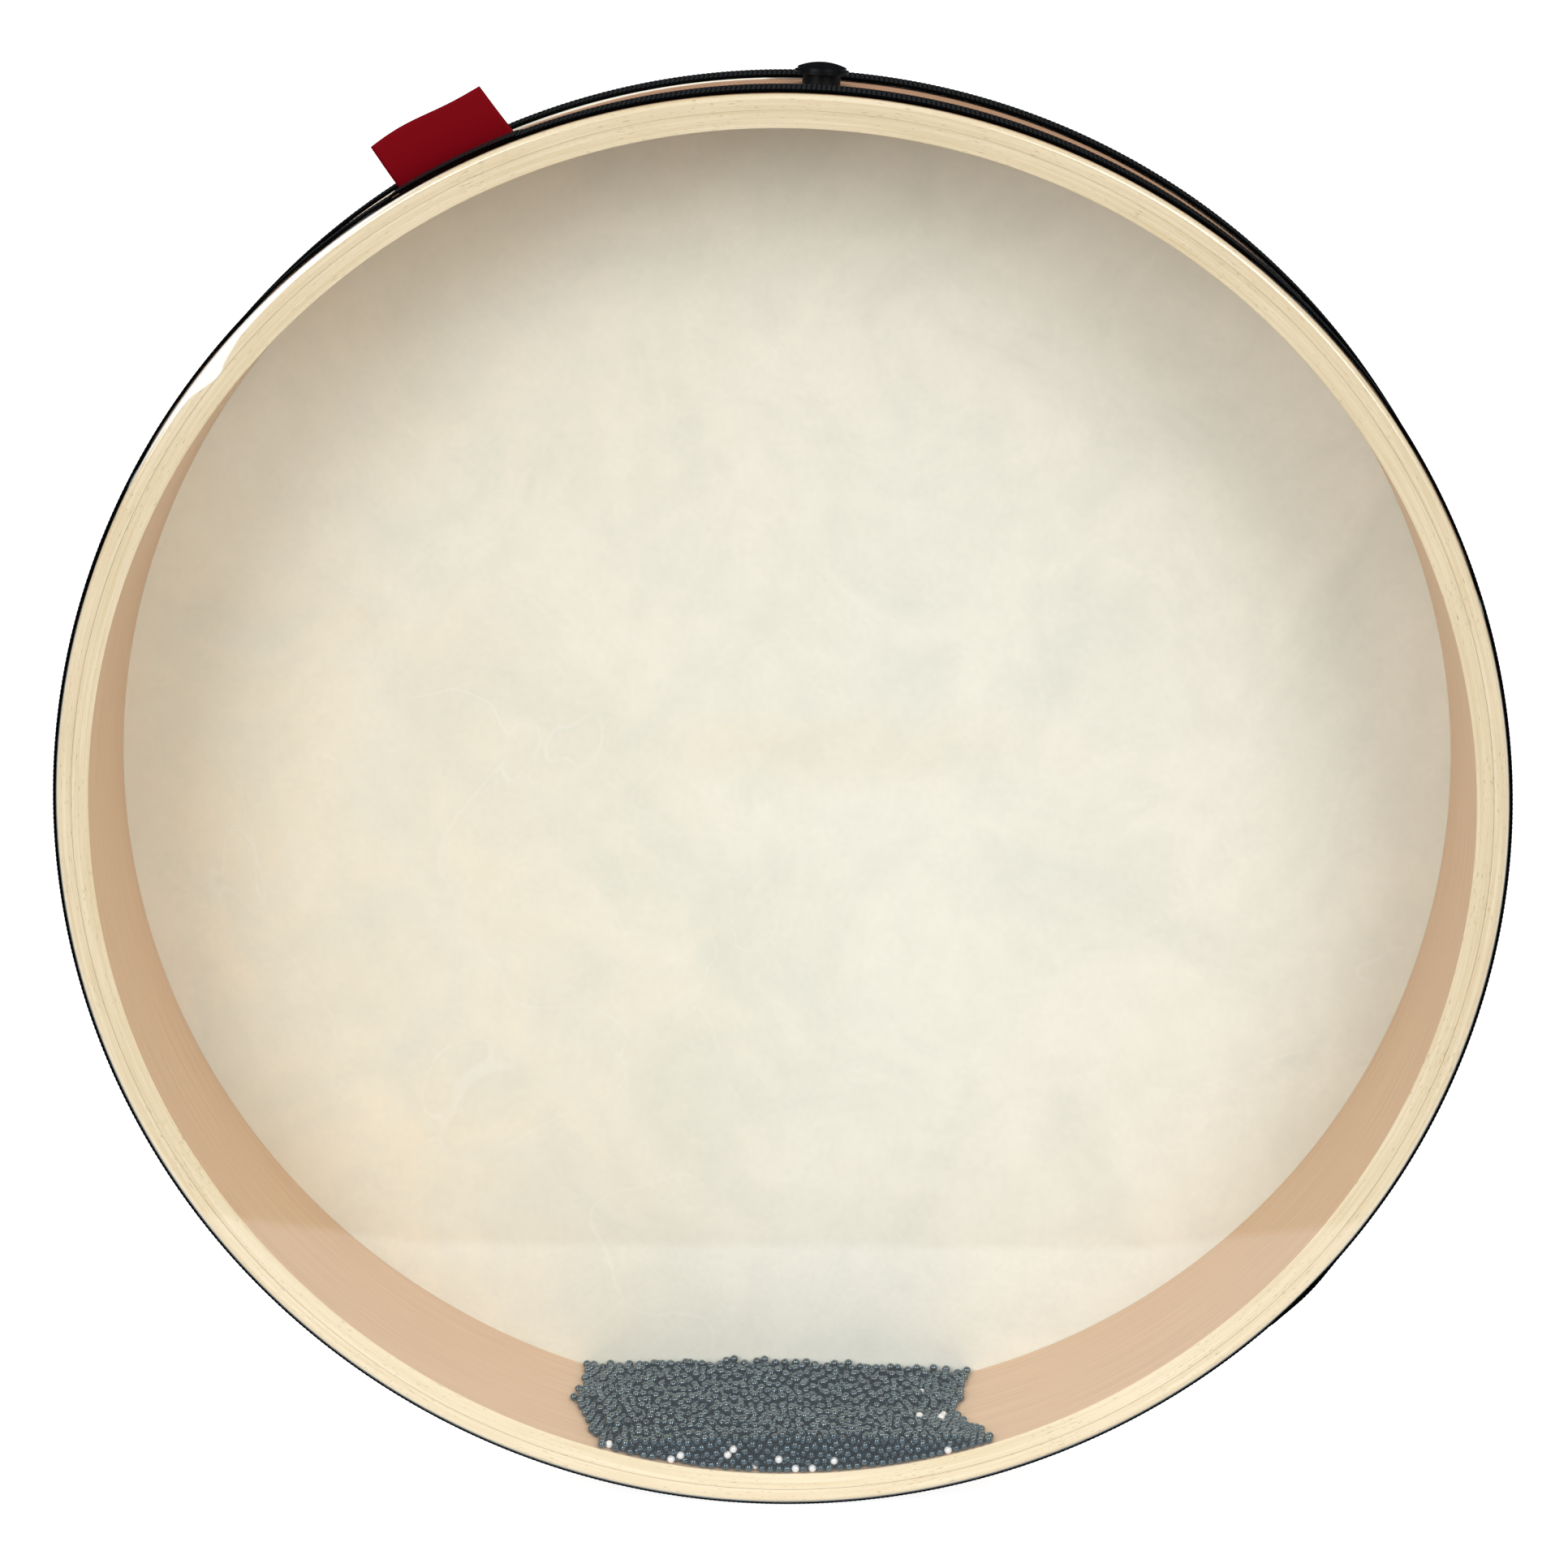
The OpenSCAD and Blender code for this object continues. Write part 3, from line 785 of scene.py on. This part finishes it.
def ribbon_leg(u, rise, y):
    """A point of a standing leg, from the label's left edge at u 0 to its right at 1 and from
    the wood to the fold. The fold bows up on its left half and kicks up at the right corner."""
    at = radians(LABEL_FROM + (LABEL_TO - LABEL_FROM) * u)
    lean = radians(LABEL_LEANS[0] + (LABEL_LEANS[1] - LABEL_LEANS[0]) * u)
    length = LABEL_RISES[0] + (LABEL_RISES[1] - LABEL_RISES[0]) * u
    length += LABEL_BOW * sin(2 * pi * u) - LABEL_DIP * sin(pi * u) - fold_r
    root = AXIS + Vector((sin(at), 0, cos(at))) * feet_r
    belly = Vector((0, y - LABEL_BELLY * sin(pi * rise ** BELLY_LOW), 0))
    return root + Vector((-sin(lean), 0, cos(lean))) * length * rise + belly


def ribbon_foot(u, along, layer):
    """A point of a foot under the tape, which follows the rim: layer 1 lies on layer 0."""
    at = radians(LABEL_FROM + (LABEL_TO - LABEL_FROM) * u)
    reach = feet_r + layer * LABEL_T * LAYER_STEP
    return AXIS + Vector((reach * sin(at), label_y - along, reach * cos(at)))


def ribbon_strip(u):
    """The ribbon's middle line at u: front foot, front leg, fold, back leg and back foot."""
    front, back = label_y + LABEL_T / 2, label_y + LABEL_T / 2 + 2 * fold_r
    over = ribbon_leg(u, 1, 0) - ribbon_leg(u, 0.95, 0)
    top = ribbon_leg(u, 1, (front + back) / 2)
    foot = [LABEL_FOOT * i / FOOT_STEPS for i in range(1, FOOT_STEPS + 1)]
    leg = [i / LEG_STEPS for i in range(1, LEG_STEPS + 1)]
    strip = [ribbon_foot(u, along, 1) for along in reversed(foot)]
    strip += [ribbon_leg(u, rise, front) for rise in leg]
    for i in range(1, FOLD_STEPS):
        turn = pi * i / FOLD_STEPS
        across = Vector((0, -fold_r * cos(turn), 0))
        strip.append(top + across + over.normalized() * fold_r * sin(turn))
    strip += [ribbon_leg(u, rise, back) for rise in reversed(leg)]
    return strip + [ribbon_foot(u, along, 0) for along in foot]


def satin():
    """Red woven polyester satin: deep and even, with a soft gloss across its fine threads,
    which are 0.1 mm wide and drawn 0.3 mm wide."""
    made, tree = new_material("polyester_satin")
    uv = add(tree, "ShaderNodeTexCoord").node.outputs["UV"]
    warp = add(tree, "ShaderNodeTexWave", {"Vector": uv, "Scale": 520.0, "Distortion": 0.6},
               bands_direction="X")
    weft = add(tree, "ShaderNodeTexWave", {"Vector": uv, "Scale": 380.0, "Distortion": 0.8},
               bands_direction="Y")
    weave = calc(tree, "MULTIPLY", warp, weft)
    colour = blend(tree, weave, linear("#6a010b"), linear("#850411"))
    bump = add(tree, "ShaderNodeBump", {"Height": weave, "Distance": 0.0001, "Strength": 0.35})
    cloth = add(tree, "ShaderNodeBsdfPrincipled", {
        "Base Color": colour, "Roughness": 0.7, "Normal": bump, "Specular IOR Level": 0.05})
    add(tree, "ShaderNodeOutputMaterial", {"Surface": cloth})
    return made


strips = [ribbon_strip(i / LABEL_COLUMNS) for i in range(LABEL_COLUMNS + 1)]
rows = len(strips[0])
ways = [[0.0] for strip in strips]
for strip, way in zip(strips, ways):
    for a, b in zip(strip, strip[1:]):
        way.append(way[-1] + (b - a).length)
half_up = FOOT_STEPS + LEG_STEPS // 2
label_w = (strips[-1][half_up] - strips[0][half_up]).length
faces, places = [], []
for i in range(LABEL_COLUMNS):
    for j in range(rows - 1):
        corners = ((i, j), (i + 1, j), (i + 1, j + 1), (i, j + 1))
        faces.append([c * rows + r for c, r in corners])
        places.append([(label_w * c / LABEL_COLUMNS, ways[c][r]) for c, r in corners])
label = mesh_from("satin_loop_label", [p for strip in strips for p in strip], faces, places,
                  sharp=70)
wall = label.modifiers.new("cloth", "SOLIDIFY")
wall.thickness = LABEL_T
wall.offset = 0
label.data.materials.append(satin())
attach(label, "drum")
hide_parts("label")

# Beads
# About 4300 steel beads of 3 mm, blued and oiled, and a few bright nickelled ones among them,
# poured in through the filler hole. They lie in a heap at the bottom between the heads.

BEAD_D = 0.003
PILE_TOP = -0.2284
PILE_ARCH = 0.45
RISE_FRONT = 0.0012
RISE_MIDDLE = 0.0006
RISE_BACK = 0.0013
TILT_FRONT = 0.0278
TILT_MIDDLE = -0.034
TILT_BACK = -0.0165
MIDDLE_SHARE = 0.47
RAGGED = 0.006
TOOTH_AT = 0.65
TOOTH_PITCH = 0.35
MOST_BEADS = 4900
POUR_HALF_W = 0.095
TRIES = 60
AT_FILM = 6
AT_SKIN = 4
SPREADS = (0.0012, 0.0004, 0)
NEAR_SIGHT = 0.45
MISS_COST = 100
MISSED = 10
BEAD_DETAIL = 2
BRIGHT_SEEN = ((-0.0624, -0.2313), (-0.0477, -0.2346), (-0.0404, -0.2364), (-0.0357, -0.2361),
               (-0.0195, -0.2362), (-0.0165, -0.2321), (-0.0092, -0.2393), (-0.0004, -0.2364),
               (0.0049, -0.2395), (0.0122, -0.2394), (0.0199, -0.2362), (0.0445, -0.2309),
               (0.0603, -0.2320), (0.0508, -0.2093), (0.0500, -0.2184), (0.0596, -0.2180),
               (0.0552, -0.2174), (0.0582, -0.2195))


def poured_beads():
    """Centres of the beads, X and Z from the axis: each is the lowest of many places tried,
    some of them against the film and the skin. Beads are poured until none stays below the
    pile's surface."""
    chance = np.random.default_rng(8)
    reach = INNER_R - BEAD_D / 2
    first_y, last_y = WOOD_FRONT + BEAD_D / 2, WOOD_BACK - BEAD_D / 2
    placed = np.zeros((MOST_BEADS, 3))
    count = 0

    def rest_heights(x, y):
        """Height at which a bead dropped at x, y comes to rest on the wall or on a bead."""
        z = -np.sqrt(reach ** 2 - x ** 2)
        if count:
            near = placed[:count]
            flat = (x[:, None] - near[:, 0]) ** 2 + (y[:, None] - near[:, 1]) ** 2
            under = flat < BEAD_D ** 2
            top = np.where(under, near[:, 2] + np.sqrt(np.where(under, BEAD_D ** 2 - flat, 0)), -1)
            z = np.maximum(z, top.max(1))
        return z

    def cost(x, y, z):
        """Height over the pile's surface, a low arch that dips a little between the heads: it
        climbs to the right at the film and to the left behind, where its right end is ragged."""
        share = (y - first_y) / (last_y - first_y)
        tilt = np.interp(share, (0, MIDDLE_SHARE, 1), (TILT_FRONT, TILT_MIDDLE, TILT_BACK))
        rise = np.interp(share, (0, MIDDLE_SHARE, 1), (RISE_FRONT, RISE_MIDDLE, RISE_BACK))
        teeth = RAGGED * np.cos(2 * pi * (share - TOOTH_AT) / TOOTH_PITCH)
        tilt = tilt + teeth * (share > TOOTH_AT - TOOTH_PITCH / 2) * (x > 0)
        return z + PILE_ARCH * x ** 2 - rise - tilt * x

    while count < MOST_BEADS:
        x = chance.uniform(-POUR_HALF_W, POUR_HALF_W, TRIES)
        y = chance.uniform(first_y, last_y, TRIES)
        y[:AT_FILM] = first_y
        y[AT_FILM:AT_FILM + AT_SKIN] = last_y
        for spread in SPREADS:
            z = rest_heights(x, y)
            best = cost(x, y, z).argmin()
            bx, by, bz = x[best], y[best], z[best]
            if spread:
                x = bx + chance.normal(0, spread, TRIES)
                y = np.clip(by + chance.normal(0, spread, TRIES), first_y, last_y)
                x[0], y[0] = bx, by
        if cost(bx, by, bz) > PILE_TOP:
            break
        placed[count] = bx, by, bz
        count += 1
    return placed[:count]


def seen_at(beads, spot):
    """Index of the bead nearest the camera on the sight line through a spot on the film, or
    else of the one that the line misses least."""
    eye = np.array(camera.location - AXIS)
    ray = np.array((spot[0], WOOD_FRONT, spot[1])) - eye
    ray /= np.linalg.norm(ray)
    away = beads - eye
    far = away @ ray
    miss = np.linalg.norm(away - far[:, None] * ray, axis=1)
    missed = far + MISS_COST * miss + MISSED
    return int(np.where(miss < BEAD_D * NEAR_SIGHT, far, missed).argmin())


def bead_tree(name, material):
    """A smooth steel bead of 80 faces on each point, each turned its own way."""
    tree, given = geometry_tree(name, ["Bead diameter"])
    radius = calc(tree, "MULTIPLY", given["Bead diameter"], 0.5)
    ball = add(tree, "GeometryNodeMeshIcoSphere", {"Radius": radius, "Subdivisions": BEAD_DETAIL})
    spun = add(tree, "FunctionNodeRandomValue", {"Max": (pi, pi, pi), "Seed": 11},
               data_type="FLOAT_VECTOR")
    balls = add(tree, "GeometryNodeInstanceOnPoints", {"Points": given["Geometry"],
                                                       "Instance": ball, "Rotation": spun})
    real = add(tree, "GeometryNodeRealizeInstances", {"Geometry": balls})
    smooth = add(tree, "GeometryNodeSetShadeSmooth", {"Geometry": real})
    done = add(tree, "GeometryNodeSetMaterial", {"Geometry": smooth, "Material": material})
    add(tree, "NodeGroupOutput", {"Geometry": done})
    return tree


def plated_steel(name, colour, roughness, uneven, metallic=1.0):
    """Polished steel shot with a thin plating or an oiled bluing: a small sharp highlight on
    each bead, and the colour of what it mirrors. The tint differs from bead to bead. A share
    of plain scattering stands in for the white studio that bright beads mirror."""
    made, tree = new_material(name)
    place = add(tree, "ShaderNodeTexCoord").node.outputs["Object"]
    tints = add(tree, "ShaderNodeTexNoise", {"Vector": place, "Scale": 260.0, "Detail": 1.0})
    tint = ranged(tree, tints, 0.3, 0.7, 1 - uneven, 1 + uneven)
    shade = blend(tree, 1.0, linear(colour), tint, blend_type="MULTIPLY")
    steel = add(tree, "ShaderNodeBsdfPrincipled", {"Base Color": shade, "Metallic": metallic,
                                                   "Roughness": roughness})
    add(tree, "ShaderNodeOutputMaterial", {"Surface": steel})
    return made


beads = poured_beads()
bright = sorted({seen_at(beads, spot) for spot in BRIGHT_SEEN})
dark = np.delete(np.arange(len(beads)), bright)
half = len(dark) // 2
blued = bead_tree("blued_beads", plated_steel("blued_steel", "#6b7a82", 0.05, 0.3))
nickelled = bead_tree("nickelled_beads", plated_steel("nickel_plate", "#fbfaf8", 0.22, 0.02, 0.3))
for name, chosen, tree, slot, nodes in (
        ("dark_beads_low", dark[:half], blued, "dark_steel",
         ("buried_beads", "beads_layer_1", "beads_layer_2")),
        ("dark_beads_high", dark[half:], blued, "dark_steel", ("beads_layer_3", "beads_layer_4")),
        ("bright_beads_mixed_in", bright, nickelled, "bright_nickel", ("bright_beads",))):
    heap = grown(name, tree, [AXIS + Vector(beads[i]) for i in chosen], [],
                 {"Bead diameter": BEAD_D})
    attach(heap, "beads")
    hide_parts(*nodes)

# Stopper
# A moulded black rubber plug with a mushroom cap, pushed into the filler hole after the beads
# went in. Its neck sits on the bare wood between the tapes, and it can be pulled out by hand.

STEM_R = 0.00475
STEM_L = 0.0111
NECK_R = 0.0066
NECK_H = 0.0045
CAP_R = 0.0093
CAP_RIM = 0.0009
CAP_DOME = 0.0022
NECK_SEAT = 0.00005
MOULD_R = 0.0003
FLARE = 0.0006
DOME_STEPS = 10


def moulded_rubber():
    """Black moulded rubber: even, semi-matt, with the fine bloom and dust that it picks up."""
    made, tree = new_material("moulded_rubber")
    place = add(tree, "ShaderNodeTexCoord").node.outputs["Object"]
    dust = add(tree, "ShaderNodeTexNoise", {"Vector": place, "Scale": 900.0, "Detail": 4.0})
    bloom = ranged(tree, dust, 0.4, 0.75)
    colour = blend(tree, bloom, linear("#0a0b0c"), linear("#15181a"))
    bump = add(tree, "ShaderNodeBump", {"Height": dust, "Distance": 0.00005, "Strength": 0.5})
    rubber = add(tree, "ShaderNodeBsdfPrincipled", {"Base Color": colour, "Roughness": 0.36,
                                                    "Normal": bump, "Specular IOR Level": 0.12})
    add(tree, "ShaderNodeOutputMaterial", {"Surface": rubber})
    return made


rim_up = CAP_RIM + NECK_H + NECK_SEAT
dome_r = (CAP_R ** 2 + CAP_DOME ** 2) / (2 * CAP_DOME)
dome = []
for i in range(DOME_STEPS):
    away = CAP_R * i / DOME_STEPS
    dome.append(Vector((away, rim_up + CAP_DOME - dome_r + (dome_r ** 2 - away ** 2) ** 0.5)))
stopper_frame = (Matrix.Translation(AXIS) @ Matrix.Rotation(radians(FILLER_AT), 4, "Y")
                 @ Matrix.Translation((0, 0, WOOD_R)) @ Matrix.Rotation(radians(90), 4, "X"))
stopper = lathe("rubber_stopper", dome + rounded([
    (CAP_R, rim_up, 0.0004), (CAP_R, NECK_H, MOULD_R), (NECK_R + FLARE, NECK_H, MOULD_R),
    (NECK_R, NECK_H - FLARE, MOULD_R), (NECK_R, NECK_SEAT, MOULD_R), (STEM_R, NECK_SEAT, 0.0002),
    (STEM_R, -STEM_L, 0.001), (0, -STEM_L, 0)], steps=4, support=0.0001),
    steps=72, turn=stopper_frame, sharp=50)
stopper.data.materials.append(moulded_rubber())
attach(stopper, "stopper")
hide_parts("stopper")
